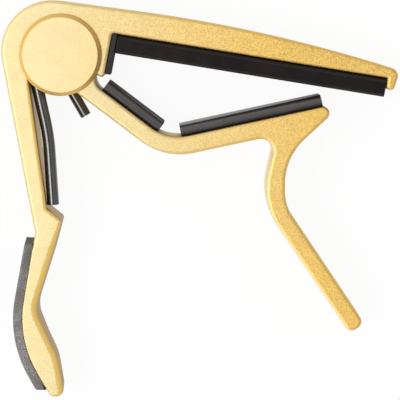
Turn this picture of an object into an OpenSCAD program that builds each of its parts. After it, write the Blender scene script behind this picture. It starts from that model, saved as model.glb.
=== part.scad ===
// Trigger capo for a guitar: two castings that turn on one hub, closed by a torsion spring.
// It lies on the rear cap. The pivot axis is Z, the string arm points to +X, the handle to -Y.

/* [Castings] */
// Width of both castings, along the pivot
body_w = 12.7; // [11.5:0.1:15]

/* [Hub] */
// Distance from the pivot to the top of the hub
hub_top = 11.75; // [11:0.1:13]
// Distance from the pivot to the back of the hub
hub_back = 12.9; // [12:0.1:14]
// Rounding of the hub's outer corner
hub_round_r = 11.3; // [9:0.1:12]
// Radius of the jaw's round cheeks, which turn in the hub
cheek_r = 8.35; // [8.2:0.05:8.6]
// Thickness of each cheek
cheek_t = 1.9; // [1.6:0.1:2.1]
// Running clearance of the cheeks in the hub, on the radius
cheek_clear = 0.07; // [0.03:0.01:0.1]
// Radius of the round caps that cover the hub
cap_r = 9.05; // [9:0.05:9.6]
// Height of a cap over the cheek
cap_t = 1.2; // [1:0.1:2]
// Width of the bevel round a cap's face
cap_bevel_w = 0.8; // [0.3:0.05:0.9]
// Height of the bevel round a cap's face
cap_bevel_h = 0.95; // [0.3:0.05:0.95]
// Clearance between a cap and the faces of the castings
cap_clear = 0.15; // [0.1:0.05:0.3]
// Radius of the spigot on a cap's inner side
spigot_r = 4; // [3.6:0.1:4.5]
// Clearance of spigots and pin in their holes, on the radius
seat_clear = 0.02; // [0.01:0.01:0.05]
// Radius of the pivot pin
pin_r = 2.5; // [2:0.1:3]
// Skin that a cap leaves over the end of the pin
pin_skin = 0.6; // [0.4:0.1:0.8]
// Wall between the spring and the arbor that it is wound over
arbor_gap = 0.45; // [0.4:0.05:0.8]

/* [Spring] */
// Diameter of the spring wire
wire_d = 1.8; // [1.6:0.1:1.9]
// Mean radius of the coil
coil_r = 6.7; // [6.5:0.05:6.8]
// Full turns of the coil, besides the part turn between its legs
coil_turns = 2; // [1:1:2]
// Gap between neighbouring turns
coil_gap = 0.5; // [0.45:0.05:0.6]
// Radius of the bend at the jaw's leg
leg_bend_r = 1.3; // [1.2:0.1:1.6]
// Slope of the handle's leg where it leaves the coil
long_leg_slope = 77.7; // [76:0.1:79]
// Slope of the handle's leg at its end
long_leg_end_slope = 86.5; // [85:0.1:88]
// Radius of the slow bend in the handle's leg
long_leg_bend_r = 45; // [30:1:60]
// Slope of the jaw's leg, down from +X
short_leg_slope = 60; // [58:1:62]
// Distance at which the jaw's leg passes the pivot
short_leg_offset = 2.45; // [2.3:0.05:2.8]
// Length of the jaw's leg after its bend
short_leg_len = 6.2; // [4.5:0.1:7]
// Distance from the end of the handle's leg up to the handle's shelf
long_leg_end_gap = 0.9; // [0.6:0.1:3]
// Outer radius of the sleeve on the handle's leg
long_sleeve_r = 1.3; // [1.2:0.05:1.5]
// Outer radius of the sleeve on the jaw's leg
short_sleeve_r = 1.25; // [1.15:0.05:1.35]
// Clearance of the wire in its sleeves, on the radius
sleeve_clear = 0.1; // [0.08:0.01:0.15]
// Gap between a sleeve and the casting that it lies on
sleeve_gap = 0.1; // [0.1:0.05:0.3]
// Length of bare wire between the coil and the long sleeve
long_bare = 5; // [4.5:0.1:7]
// Length of bare wire between the bend and the short sleeve
short_bare = 0.4; // [0.3:0.1:1.5]
// Length of sleeve past the end of the wire
sleeve_over = 0.5; // [0:0.1:0.6]

/* [String arm] */
// Slope of the string pad's seat, down towards the tip
seat_slope = 9.25; // [7:0.05:11]
// Height of the seat's line over the pivot
seat_height = 6.5; // [6:0.1:7]
// Distance along the seat from the pivot to the inner corner
seat_start = 10.6; // [10.4:0.1:11.5]
// Length of the seat
seat_len = 61.5; // [55:0.5:68]
// Length of the hub's lip below the seat
hub_lip_len = 10.2; // [9.5:0.1:10.6]
// Lean of the hub's lip from square to the seat
hub_lip_lean = 1.5; // [0:0.1:3]
// Slope of the arm's top at the hub
arm_top_slope = 7.6; // [6:0.1:9]
// Slope of the arm's top at the tip
arm_tip_slope = 17.4; // [14:0.1:20]
// Radius of the arm's long crown
arm_crown_r = 330; // [200:10:400]
// Length of the tip past the seat
tip_len = 2.6; // [2:0.1:4]
// Height of the tip over the seat's line
tip_depth = 2.1; // [1.8:0.1:3]
// Depth of the tip's lip below the seat
tip_lip_drop = 2.5; // [1.5:0.1:3]
// Thickness of the tip's lip
tip_lip_t = 1.8; // [1.7:0.1:2.4]

/* [Handle] */
// Slope of the handle's outer face
handle_slope = 79.6; // [78:0.1:81]
// Slope of the handle's inner face
handle_in_slope = 82.5; // [81.5:0.1:83.5]
// Distance along the inner face from the pivot to the shelf
shelf_at = 33.3; // [30:0.1:38]
// Slope of the shelf
shelf_slope = 39; // [30:1:50]
// Length of the shelf
shelf_len = 4.3; // [3.5:0.1:5]
// Length of the paddle from the shelf to its end
paddle_len = 42.4; // [38:0.2:50]
// Width of the paddle's end
paddle_end_w = 3.2; // [3:0.1:4.2]
// Sideways place of the paddle's end from the shelf's corner
paddle_end_set = 0.6; // [0:0.1:1.5]
// Depth of the notch above the grip, below the shelf
notch_drop = 5.4; // [4.5:0.1:7]
// Height of the waist over the paddle's end
waist_rise = 19.7; // [18:0.1:21]
// Setback of the waist from the shelf's corner
waist_set = 2.7; // [2:0.1:3.2]
// Height of the outer bow over the paddle's end
bow_rise = 13.4; // [12:0.1:15]
// Setback of the outer bow from the shelf's corner
bow_set = 6.7; // [6.2:0.1:8]
// Radius of the outer bow
bow_r = 24; // [18:0.5:26]

/* [Lower jaw] */
// Slope of the jaw's arm, down from the hub
arm_slope = 37.2; // [36:0.1:38.5]
// Depth of the arm's top face below the pivot
arm_drop = 0.65; // [0.5:0.05:0.9]
// Thickness of the jaw's arm
arm_t = 3.9; // [3.5:0.1:4]
// Length of the arm's top face from the pivot to the elbow
arm_len = 30.2; // [28:0.2:34]
// Rise of the jaw from the elbow
jaw_rise = 12.1; // [11:0.1:12.8]
// Length of the jaw from the elbow to its pointed corner
jaw_len = 40.3; // [38:0.1:43]
// Thickness of the jaw
jaw_t = 4.1; // [3.6:0.1:4.6]
// Radius inside the elbow
elbow_r = 10.4; // [8:0.2:12]
// Distance from the elbow to the trigger, along the jaw's underside
trigger_at = 25.4; // [23:0.1:27]
// Lean of the trigger's neck from upright
neck_lean = 12.4; // [9:0.1:15]
// Length of the trigger's neck
neck_len = 15.4; // [14:0.1:17]
// Width across the neck and its bend
neck_w = 5.2; // [5:0.1:6]
// Slope of the jaw's back face from the tip to the neck
jaw_back_slope = 42.7; // [40:0.1:46]
// Slope of the trigger
trigger_slope = 56.1; // [52:0.1:60]
// Length of the trigger below its neck
trigger_len = 35.4; // [30:0.2:42]
// Thickness of the trigger
trigger_t = 4; // [3.6:0.1:4.6]

/* [Pads and grip] */
// Thickness of the string pad
string_pad_t = 4.3; // [3.5:0.1:4.8]
// Thickness of the pad on the hub's lip
edge_pad_t = 1.15; // [0.9:0.05:1.3]
// Length of the pad on the hub's lip, from the seat's corner
edge_pad_len = 9.1; // [8:0.1:9.4]
// Distance of that pad from the seat's corner
edge_pad_gap = 0.3; // [0.1:0.1:0.8]
// Thickness of the two neck pads
neck_pad_t = 2.6; // [2:0.1:2.9]
// Distance from the long neck pad's end to the jaw's pointed corner
long_pad_end_gap = 5.2; // [4:0.1:8]
// Distance from the elbow to the long neck pad
long_pad_at = 3.1; // [2.6:0.1:4]
// Distance from the short neck pad's end to the elbow
short_pad_end_gap = 2.9; // [2.6:0.1:5]
// Distance along the arm from the pivot to the short neck pad
short_pad_at = 12; // [11.5:0.1:14]
// Distance of the pads' sides inside the castings' faces
pad_inset = 0.2; // [0.1:0.1:0.8]
// Rounding of the pads' long edges
pad_round = 1; // [0.4:0.1:1]
// Thickness of the glue under the pads and the grip
glue_t = 0.05; // [0.03:0.01:0.1]
// Thickness of the handle grip
grip_t = 2.1; // [1.5:0.1:3]
// Distance from the notch to the grip's top
grip_top_gap = 2.1; // [0.5:0.1:3]
// Distance from the grip's end to the paddle's end
grip_end_gap = 3; // [2.5:0.1:6]

/* [Hidden] */

gold = [0.88, 0.73, 0.43];
black = [0.13, 0.12, 0.12];
foam = [0.55, 0.53, 0.51];
steel = [0.66, 0.66, 0.68];

// Largest turn and largest length of each straight piece of a rounded corner
arc_step = 7.5;
arc_piece = 5;
// Rings in each turn of the coil, sides of the wire, sides of a sleeve
coil_rings = 16;
wire_sides = 8;
sleeve_sides = 12;
round_fn = 96;
// Extra length of a cutting tool past the face that it cuts
past = 1;

// Levels along the pivot
z_cheek = cap_t;
z_face = z_cheek + cap_clear;
z_mid = z_face + body_w / 2;
z_top = z_face + body_w;
z_cheek_top = z_top + cap_clear;
z_end = z_cheek_top + cap_t;
spring_room = z_cheek_top - z_cheek - 2 * cheek_t;

function polar(r, a) = r * [cos(a), sin(a)];
function unit(v) = v / norm(v);
function cross2(u, v) = u[0] * v[1] - u[1] * v[0];
function right_of(u) = [u[1], -u[0]];

// Where two lines meet, each given by a point and the angle of its direction
function meet(p, a, q, b) =
    let (u = polar(1, a), v = polar(1, b)) p + u * cross2(q - p, v) / cross2(u, v);

// One rounded corner at p between a and b, as pairs of a point and its outward normal
function corner(a, p, b, r) =
    let (n0 = right_of(unit(p - a)),
         n1 = right_of(unit(b - p)),
         turn = cross2(n0, n1) < 0 ? -1 : 1,
         sweep = turn * acos(max(-1, min(1, n0 * n1))),
         mitre = (n0 + n1) / (1 + n0 * n1),
         start = atan2(n0[1], n0[0]),
         steps = max(1, ceil(abs(sweep) / arc_step), ceil(abs(sweep) * r * PI / 180 / arc_piece)))
    r == 0 ? [[p, mitre]]
    : [for (k = [0 : steps])
        let (n = polar(1, start + sweep * k / steps)) [p + turn * r * (n - mitre), n]];

// A closed outline from corners [x, y, radius], which run counterclockwise
function outline(c) =
    let (m = len(c), at = [for (q = c) [q[0], q[1]]])
    [for (i = [0 : m - 1])
        each corner(at[(i + m - 1) % m], at[i], at[(i + 1) % m], c[i][2])];

function with_r(p, r) = [p[0], p[1], r];
function shifted(path, d) = [for (q = path) q[0] + d * q[1]];

// Side faces between rings of n points, the first ring lowest
function side_faces(n, rings, first = 0) =
    [for (j = [0 : rings - 2], i = [0 : n - 1])
        let (a = first + j * n + i, b = first + j * n + (i + 1) % n)
        each [[a, a + n, b + n], [a, b + n, b]]];

// A plate of the castings' width over an outline, grown all round where it cuts a seat
module casting(corners, grow = 0) {
    translate([0, 0, z_face - grow])
        linear_extrude(body_w + 2 * grow)
            polygon(shifted(outline(corners), grow));
}

// A round tube or, with a bore, a round sleeve along a path that lies nearly level
function tube_ring(path, i, r, sides) =
    let (m = len(path),
         t = unit(path[min(i + 1, m - 1)] - path[max(i - 1, 0)]),
         s = unit(cross(t, [0, 0, 1])),
         u = cross(s, t))
    [for (k = [0 : sides - 1]) path[i] + r * (cos(360 * k / sides) * s + sin(360 * k / sides) * u)];

module wire(path, r) {
    m = len(path);
    n = wire_sides;
    points = [for (i = [0 : m - 1]) each tube_ring(path, i, r, n)];
    ends = concat([for (i = [1 : n - 2]) [0, i, i + 1]],
        [for (i = [1 : n - 2]) let (a = n * (m - 1)) [a, a + i + 1, a + i]]);
    polyhedron(points = points, faces = concat(side_faces(n, m), ends), convexity = 10);
}

module sleeve(path, r, bore_r) {
    m = len(path);
    n = sleeve_sides;
    outer = [for (i = [0 : m - 1]) each tube_ring(path, i, r, n)];
    bore = [for (i = [0 : m - 1]) each tube_ring(path, i, bore_r, n)];
    b = n * m;
    bore_faces = [for (f = side_faces(n, m, b)) [f[2], f[1], f[0]]];
    function rim(a, c, i) = let (j = (i + 1) % n) [[a + i, a + j, c + j], [a + i, c + j, c + i]];
    near_rim = [for (i = [0 : n - 1]) each rim(0, b, i)];
    far_rim = [for (i = [0 : n - 1]) each rim(b + b - n, b - n, i)];
    polyhedron(points = concat(outer, bore), convexity = 10,
        faces = concat(side_faces(n, m), bore_faces, near_rim, far_rim));
}

// Upper body: hub, string arm and handle
out_p = polar(hub_back, -handle_slope - 90);
top_p = polar(hub_top, 90 - arm_top_slope);
hub_corner = meet(out_p, -handle_slope, top_p, -arm_top_slope);
seat_corner = polar(seat_height, 90 - seat_slope) + polar(seat_start, -seat_slope);
lip_angle = -seat_slope - 90 - hub_lip_lean;
hub_lip_end = seat_corner + polar(hub_lip_len, lip_angle);
seat_end = seat_corner + polar(seat_len, -seat_slope);
tip_lip_in = seat_end + polar(tip_lip_drop, -seat_slope - 90);
tip_lip_out = tip_lip_in + polar(tip_lip_t, -seat_slope);
tip_top = seat_end + polar(tip_len, -seat_slope) + polar(tip_depth, 90 - seat_slope);
crown = meet(top_p, -arm_top_slope, tip_top, -arm_tip_slope);
tip_r = 1.9;
// Length at the tip that the crown's arc leaves to the tip's rounding
crown_stop = 1.2 * tip_r;
crown_r = min(arm_crown_r,
    (norm(tip_top - crown) - crown_stop) / tan((arm_tip_slope - arm_top_slope) / 2));
axis_from_face = long_sleeve_r + sleeve_gap;
// The inner face lies against both ends of the long sleeve
face_off = coil_r + axis_from_face - long_bare * sin(handle_in_slope - long_leg_slope);
in_p = polar(face_off, -handle_in_slope - 90);
shelf = in_p + polar(shelf_at, -handle_in_slope);
bump = shelf + polar(shelf_len, -shelf_slope);
notch = meet(out_p, -handle_slope, shelf - [0, notch_drop], 0);
paddle_out = shelf + [paddle_end_set, -paddle_len];
paddle_in = paddle_out + [paddle_end_w, 0];
waist = [shelf[0] - waist_set, paddle_out[1] + waist_rise];
bow = [shelf[0] - bow_set, paddle_out[1] + bow_rise];
// Corners that swell the paddle above and below its waist
swell_above = bump + [-1.7, -6.4];
swell_below = paddle_in + [-1.45, 8.7];
swell_r = 13.3;
end_r = 1.6;
waist_r = 6;
fillet_r = 0.8;
bump_r = 0.9;
shelf_r = 0.4;
seat_r = 0.6;
seat_end_r = 0.2;
tip_lip_in_r = 0.85;
tip_lip_out_r = 0.9;

upper_corners = [
    with_r(hub_corner, hub_round_r),
    with_r(notch, fillet_r),
    with_r(bow, bow_r),
    with_r(paddle_out, end_r),
    with_r(paddle_in, end_r),
    with_r(swell_below, swell_r),
    with_r(waist, waist_r),
    with_r(swell_above, swell_r),
    with_r(bump, bump_r),
    with_r(shelf, shelf_r),
    with_r(in_p, 0),
    with_r([0, 0], 0),
    with_r(hub_lip_end, fillet_r),
    with_r(seat_corner, seat_r),
    with_r(seat_end, seat_end_r),
    with_r(tip_lip_in, tip_lip_in_r),
    with_r(tip_lip_out, tip_lip_out_r),
    with_r(tip_top, tip_r),
    with_r(crown, crown_r)];

// Lower jaw: arm, jaw and trigger
arm_up = polar(1, 90 - arm_slope);
arm_p = -arm_drop * arm_up;
arm_low_p = arm_p - arm_t * arm_up;
elbow = arm_p + polar(arm_len, -arm_slope);
jaw_up = polar(1, 90 + jaw_rise);
jaw_tip = elbow + polar(jaw_len, jaw_rise);
elbow_low = meet(arm_low_p, -arm_slope, elbow - jaw_t * jaw_up, jaw_rise);
neck_top = elbow_low + polar(trigger_at, jaw_rise);
trigger_bend = neck_top + polar(neck_len, -90 - neck_lean);
trigger_up = polar(1, 90 - trigger_slope);
trigger_end = trigger_bend + polar(trigger_len, -trigger_slope);
neck_back = trigger_bend + [neck_w, 0];
back_high = meet(jaw_tip, 180 + jaw_back_slope, neck_back, 90);
back_low = meet(neck_back, 90, trigger_bend + trigger_t * trigger_up, -trigger_slope);
// Place where the arm's top face leaves the hub, clear of the hub's lip
lip_clear = 3.5;
root_out_r = 9;
root_slope = 83;
root_fillet_r = 3;
neck_top_r = 2.75;
trigger_bend_r = 15;
trigger_end_r = 1.75;
back_low_r = 10.6;
back_high_r = 13.5;
jaw_tip_r = 1.53;
root = polar(root_out_r, atan2(hub_lip_end[1], hub_lip_end[0]) - lip_clear);
root_foot = meet(root, -root_slope, arm_p, -arm_slope);

jaw_corners = [
    with_r(arm_low_p, 0),
    with_r(elbow_low, elbow_r + arm_t),
    with_r(neck_top, neck_top_r),
    with_r(trigger_bend, trigger_bend_r),
    with_r(trigger_end, trigger_end_r),
    with_r(trigger_end + trigger_t * trigger_up, trigger_end_r),
    with_r(back_low, back_low_r),
    with_r(back_high, back_high_r),
    with_r(jaw_tip, jaw_tip_r),
    with_r(elbow, elbow_r),
    with_r(root_foot, root_fillet_r),
    with_r(root, 0),
    with_r([0, 0], 0)];

// Spring: the handle's leg, the coil and the jaw's leg, from the handle's end to the jaw's
wire_r = wire_d / 2;
coil_pitch = wire_d + coil_gap;
short_side = polar(1, 90 - short_leg_slope);
coil_start = -long_leg_slope - 90;
// The jaw's leg bends out where a circle of leg_bend_r touches both the coil and the leg's line
bend_angle = 90 - short_leg_slope
    - acos((leg_bend_r - short_leg_offset) / (coil_r + leg_bend_r));
coil_sweep = coil_start + 360 - bend_angle + 360 * coil_turns;
coil_rise = coil_pitch * coil_sweep / 360;
long_z = z_mid + coil_rise / 2;
short_z = z_mid - coil_rise / 2;
bend_centre = polar(coil_r + leg_bend_r, bend_angle);
bend_from = bend_angle + 180;
bend_to = 270 - short_leg_slope;
short_start = bend_centre - leg_bend_r * short_side;
short_dir = polar(1, -short_leg_slope);
long_tangent = polar(coil_r, coil_start);
long_end = shelf + polar(axis_from_face, 90 - handle_in_slope)
    + polar(long_leg_end_gap, 180 - handle_in_slope);
long_bend = corner(long_tangent, meet(long_tangent, -long_leg_slope, long_end, -long_leg_end_slope),
    long_end, long_leg_bend_r);

function at_z(p, z) = [p[0], p[1], z];
long_turn = [for (k = [len(long_bend) - 1 : -1 : 0]) at_z(long_bend[k][0], long_z)];
coil_steps = ceil(coil_sweep / 360 * coil_rings);
coil_path = [for (k = [0 : coil_steps])
    at_z(polar(coil_r, coil_start - coil_sweep * k / coil_steps), long_z - coil_rise * k / coil_steps)];
bend_steps = 6;
bend_path = [for (k = [1 : bend_steps])
    at_z(bend_centre + polar(leg_bend_r, bend_from + (bend_to - bend_from) * k / bend_steps), short_z)];
long_tip = at_z(long_end, long_z);
short_tip = at_z(short_start + short_leg_len * short_dir, short_z);
spring_path = concat([long_tip], long_turn, coil_path, bend_path, [short_tip]);

// Least distance between points of the wire that are at least half a turn apart
self_gap = min([for (i = [0 : len(spring_path) - 1], j = [i + coil_rings / 2 : 1 : len(spring_path) - 1])
    norm(spring_path[i] - spring_path[j])]) - wire_d;
echo(str("Least gap of the spring to itself: ", self_gap, " mm"));

long_sleeve_path = concat(
    [at_z(long_tangent + polar(long_bare, -long_leg_slope), long_z)],
    [for (k = [len(long_turn) - 1 : -1 : 0]) long_turn[k]],
    [at_z(long_end + polar(sleeve_over, -long_leg_end_slope), long_z)]);
short_sleeve_path = [
    at_z(short_start + short_bare * short_dir, short_z),
    at_z(short_start + (short_leg_len + sleeve_over) * short_dir, short_z)];

// A pad's section: flat on its seat, with rounded long edges; x is its height, y its width
pad_w = body_w - 2 * pad_inset;
// Depth to which a pad is drawn into its seat before the seat is cut out of it
pad_sink = 0.3;
// Largest share of a pad's thickness that its rounding takes
pad_round_share = 0.6;
module pad(length, t) {
    r = min(pad_round, t * pad_round_share);
    top = t + glue_t;
    section = outline([[-pad_sink, pad_w / 2, 0], [-pad_sink, -pad_w / 2, 0],
        [top, -pad_w / 2, r], [top, pad_w / 2, r]]);
    rotate([90, 0, 90])
        linear_extrude(length)
            polygon(shifted(section, 0));
}

// Puts a pad on a seat that starts at p and runs along angle a, with its height to the left,
// and cuts the casting and its layer of glue out of it
module on_seat(p, a, corners) {
    difference() {
        translate(at_z(p, z_mid))
            rotate(a)
                children();
        casting(corners, glue_t);
    }
}

module cap() {
    spigot_len = cheek_t - seat_clear;
    rotate_extrude($fn = round_fn)
        polygon([
            [0, 0],
            [cap_r - cap_bevel_w, 0],
            [cap_r, cap_bevel_h],
            [cap_r, cap_t],
            [spigot_r, cap_t],
            [spigot_r, cap_t + spigot_len],
            [pin_r + seat_clear, cap_t + spigot_len],
            [pin_r + seat_clear, pin_skin],
            [0, pin_skin]]);
}

module upper_body() {
    color(gold)
        difference() {
            casting(upper_corners);
            translate([0, 0, z_face - past])
                cylinder(r = cheek_r + cheek_clear, h = body_w + 2 * past, $fn = round_fn);
        }
}

module lower_jaw() {
    root_r = coil_r + wire_r + arbor_gap;
    color(gold) {
        difference() {
            casting(jaw_corners);
            translate([0, 0, z_face - past])
                cylinder(r = root_r, h = body_w + 2 * past, $fn = round_fn);
            // Groove that the jaw's leg presses into
            translate(at_z(short_start - leg_bend_r * short_dir, short_z))
                rotate([90, 0, 90 - short_leg_slope])
                    cylinder(r = short_sleeve_r + sleeve_gap, h = 2 * short_leg_len, $fn = round_fn);
        }
        for (z = [z_cheek, z_cheek_top - cheek_t])
            translate([0, 0, z])
                difference() {
                    cylinder(r = cheek_r, h = cheek_t, $fn = round_fn);
                    translate([0, 0, -past])
                        cylinder(r = spigot_r + seat_clear, h = cheek_t + 2 * past, $fn = round_fn);
                }
    }
}

module front_cap() {
    color(gold)
        translate([0, 0, z_end])
            mirror([0, 0, 1])
                cap();
}

module rear_cap() {
    color(gold)
        cap();
}

module pivot_pin() {
    color(steel)
        translate([0, 0, pin_skin + seat_clear])
            cylinder(r = pin_r, h = z_end - 2 * (pin_skin + seat_clear), $fn = round_fn);
}

module spring_arbor() {
    end_gap = 0.2;
    color(black)
        translate([0, 0, z_cheek + cheek_t + end_gap])
            difference() {
                cylinder(r = coil_r - wire_r - arbor_gap, h = spring_room - 2 * end_gap, $fn = round_fn);
                translate([0, 0, -past])
                    cylinder(r = pin_r + seat_clear, h = spring_room + 2 * past, $fn = round_fn);
            }
}

module torsion_spring() {
    color(steel)
        wire(spring_path, wire_r);
}

module long_spring_sleeve() {
    color(black)
        sleeve(long_sleeve_path, long_sleeve_r, wire_r + sleeve_clear);
}

module short_spring_sleeve() {
    color(black)
        sleeve(short_sleeve_path, short_sleeve_r, wire_r + sleeve_clear);
}

module string_pad() {
    color(black)
        on_seat(seat_end - glue_t * polar(1, -seat_slope), 180 - seat_slope, upper_corners)
            pad(seat_len - edge_pad_t - 3 * glue_t, string_pad_t);
}

module edge_pad() {
    color(black)
        on_seat(seat_corner + polar(edge_pad_gap, lip_angle), lip_angle, upper_corners)
            pad(edge_pad_len - edge_pad_gap, edge_pad_t);
}

module long_neck_pad() {
    color(black)
        on_seat(elbow + polar(long_pad_at, jaw_rise), jaw_rise, jaw_corners)
            pad(jaw_len - long_pad_at - long_pad_end_gap, neck_pad_t);
}

module short_neck_pad() {
    color(black)
        on_seat(arm_p + polar(short_pad_at, -arm_slope), -arm_slope, jaw_corners)
            pad(arm_len - short_pad_at - short_pad_end_gap, neck_pad_t);
}

module handle_grip() {
    from = notch + grip_top_gap * unit(bow - notch);
    to = paddle_out + grip_end_gap * unit(bow - paddle_out);
    ends = [[from, right_of(unit(bow - notch))], [to, right_of(unit(to - bow))]];
    back = concat([ends[0]], corner(from, bow, to, bow_r), [ends[1]]);
    face = shifted(back, glue_t);
    color(foam)
        translate([0, 0, z_face + pad_inset])
            linear_extrude(pad_w)
                polygon(concat(shifted(back, glue_t + grip_t), [for (k = [len(face) - 1 : -1 : 0]) face[k]]));
}

upper_body();
lower_jaw();
front_cap();
rear_cap();
pivot_pin();
spring_arbor();
torsion_spring();
long_spring_sleeve();
short_spring_sleeve();
string_pad();
edge_pad();
long_neck_pad();
short_neck_pad();
handle_grip();
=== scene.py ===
"""Guitar capo: two gold castings, round caps, a wound spring, rubber pads and a foam grip."""

import bpy
import numpy as np
from bpy.props import FloatProperty, FloatVectorProperty, PointerProperty
from mathutils import Matrix, Vector


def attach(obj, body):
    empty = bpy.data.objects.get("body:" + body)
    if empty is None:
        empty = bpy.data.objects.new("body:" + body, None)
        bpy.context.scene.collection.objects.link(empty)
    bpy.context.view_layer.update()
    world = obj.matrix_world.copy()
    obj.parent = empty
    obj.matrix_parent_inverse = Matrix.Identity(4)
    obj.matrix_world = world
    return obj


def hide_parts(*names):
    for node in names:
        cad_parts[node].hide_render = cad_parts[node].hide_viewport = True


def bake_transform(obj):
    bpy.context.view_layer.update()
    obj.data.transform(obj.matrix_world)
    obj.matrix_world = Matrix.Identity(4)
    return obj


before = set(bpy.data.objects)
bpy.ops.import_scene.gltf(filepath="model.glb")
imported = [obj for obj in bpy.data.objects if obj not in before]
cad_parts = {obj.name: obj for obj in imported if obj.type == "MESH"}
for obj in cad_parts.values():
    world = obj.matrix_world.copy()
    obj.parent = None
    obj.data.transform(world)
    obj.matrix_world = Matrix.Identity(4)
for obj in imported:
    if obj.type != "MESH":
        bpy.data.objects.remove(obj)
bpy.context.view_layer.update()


bl_info = {
    "name": "Guitar capo",
    "version": (1, 0, 0),
    "blender": (4, 5, 0),
    "location": "View3D > Sidebar > Capo",
    "description": "Builds a sprung guitar capo piece by piece on its packed solids",
    "category": "Object",
}

MM = 0.001

# Sizes are in millimetres and slopes in degrees.
# The pivot is Z, the string arm points to +X, the handle to -Y.

# Levels along the pivot: height of a cap, its clearance over a casting's face, width of the castings
CAP_T, CAP_CLEAR, BODY_W = 1.2, 0.15, 12.7
Z_CHEEK = CAP_T
Z_FACE = Z_CHEEK + CAP_CLEAR
Z_MID, Z_TOP = Z_FACE + BODY_W / 2, Z_FACE + BODY_W
Z_CHEEK_TOP = Z_TOP + CAP_CLEAR
Z_END = Z_CHEEK_TOP + CAP_T

# Hub: distances from the pivot to its top and its back, its outer rounding, length and lean of its lip
HUB_TOP, HUB_BACK, HUB_ROUND = 11.75, 12.9, 11.3
LIP_LEN, LIP_LEAN = 10.2, 1.5
# Bore: edge radius, distance over which it grows to the full one, rounding of its corners, and degrees
# between points on the bore and on those corners
BORE_EDGE, HUB_FADE, NICK_R, BORE_STEP, NICK_STEP = 0.05, 0.8, 0.12, 3, 15
# Roundings of turned edges: in holes, round rims, round the caps' faces and spigots, under the caps' rims
TURNED_IN_R, TURNED_RIM_R, TURNED_FACE_R, TURNED_FOOT_R = 0.1, 0.2, 0.15, 0.05
# Caps: height of the bevel, radius of the flat left in the middle, clearance of a spigot in its cheek
CAP_BEVEL_H, CAP_CORE, SEAT_CLEAR = 0.95, 0.5, 0.02

# String arm: slope, height, start and length of the pad's seat, then slopes and crown of the arm's top
SEAT_SLOPE, SEAT_HEIGHT, SEAT_START, SEAT_LEN = 9.25, 6.5, 10.6, 61.5
ARM_TOP_SLOPE, ARM_TIP_SLOPE, ARM_CROWN_R = 7.6, 17.4, 330.0

# Tip of the string arm: length past the seat, height over the seat, drop and thickness of its lip
TIP_LEN, TIP_DEPTH, TIP_LIP_DROP, TIP_LIP_T = 2.6, 2.1, 2.5, 1.8

# Handle: slopes of its outer and inner faces, place, slope and length of its shelf, drop of its notch
HANDLE_SLOPE, HANDLE_IN_SLOPE = 79.6, 82.5
SHELF_AT, SHELF_SLOPE, SHELF_LEN, NOTCH_DROP = 33.3, 39.0, 4.3, 5.4

# Paddle: length, width and sideways place of its end, then rise and setback of its waist and of its bow
PADDLE_LEN, PADDLE_END_W, PADDLE_END_SET = 42.4, 3.2, 0.6
WAIST_RISE, WAIST_SET = 19.7, 2.7
BOW_RISE, BOW_SET, BOW_R = 13.4, 6.7, 24.0
# Steps to the corners that swell it, from the shelf's far end and from the paddle's end, and their radius
SWELL_ABOVE, SWELL_BELOW, SWELL_R = (-1.7, -6.4), (-1.45, 8.7), 13.3

# Roundings of the upper body's corners: the hub's lip, both ends of the seat, the tip's lip and top, the
# notch, the paddle's end, the waist, and the shelf's outer and inner ends
LIP_R, SEAT_R, SEAT_END_R, TIP_IN_R, TIP_OUT_R, TIP_TOP_R = 0.8, 0.6, 0.2, 0.85, 0.9, 1.9
NOTCH_R, PADDLE_END_R, WAIST_R, BUMP_R, SHELF_R = 0.8, 1.6, 6.0, 0.9, 0.4

# Lower jaw: slope, drop, thickness and length of its arm, then rise, length and thickness of the jaw
ARM_SLOPE, ARM_DROP, ARM_T, ARM_LEN = 37.2, 0.65, 3.9, 30.2
JAW_RISE, JAW_LEN, JAW_T, ELBOW_R = 12.1, 40.3, 4.1, 10.4

# Trigger: its place on the jaw, lean, length and width of its neck, then its slope, length and thickness
TRIGGER_AT, NECK_LEAN, NECK_LEN, NECK_W = 25.4, 12.4, 15.4, 5.2
TRIGGER_SLOPE, TRIGGER_LEN, TRIGGER_T, JAW_BACK_SLOPE = 56.1, 35.4, 4.0, 42.7

# Root of the jaw's arm: radius at which it leaves the hub, slope there, angle from the hub's lip
ROOT_OUT, ROOT_SLOPE, ROOT_TURN = 9.0, 83.0, 3.5

# Roundings of the jaw's corners: the neck's top and foot, the trigger's end, the neck's back below and above,
# the jaw's tip and the arm's root
NECK_TOP_R, NECK_FOOT_R, TRIGGER_END_R = 2.75, 15.0, 1.75
BACK_LOW_R, BACK_HIGH_R, JAW_TIP_R, ROOT_FOOT_R = 10.6, 13.5, 1.53, 3.0

# Spring: mean radius, wire, full turns and gap of the coil
COIL_R, WIRE_R, COIL_TURNS, COIL_GAP = 6.7, 0.9, 2, 0.5
# Leg along the handle: slopes at the coil and at its end, slow bend, distance of its end from the shelf,
# distance of its axis from the handle's face, and bare wire before its sleeve
LONG_SLOPE, LONG_END_SLOPE, LONG_BEND_R = -77.7, -86.5, 45.0
LONG_END_GAP, LONG_OFF_FACE, LONG_BARE = 0.9, 1.4, 5.0
# Leg under the jaw's arm: slope, bend, distance at which it passes the pivot, length and bare wire
SHORT_SLOPE, SHORT_BEND_R, SHORT_OFFSET, SHORT_LEN, SHORT_BARE = -60.0, 1.3, 2.45, 6.2, 0.4
# Wire: rounding of its ends and the flat left in their middle, then points along coil, bend and jaw's leg
WIRE_END_R, WIRE_FLAT = 0.25, 0.05
COIL_STEPS, BEND_STEPS, LEG_STEPS = 250, 15, 8
# Sleeves: length past the end of the wire, roundings inside and outside at the ends
SLEEVE_OVER, SLEEVE_IN_R, SLEEVE_OUT_R = 0.5, 0.06, 0.16

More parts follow.
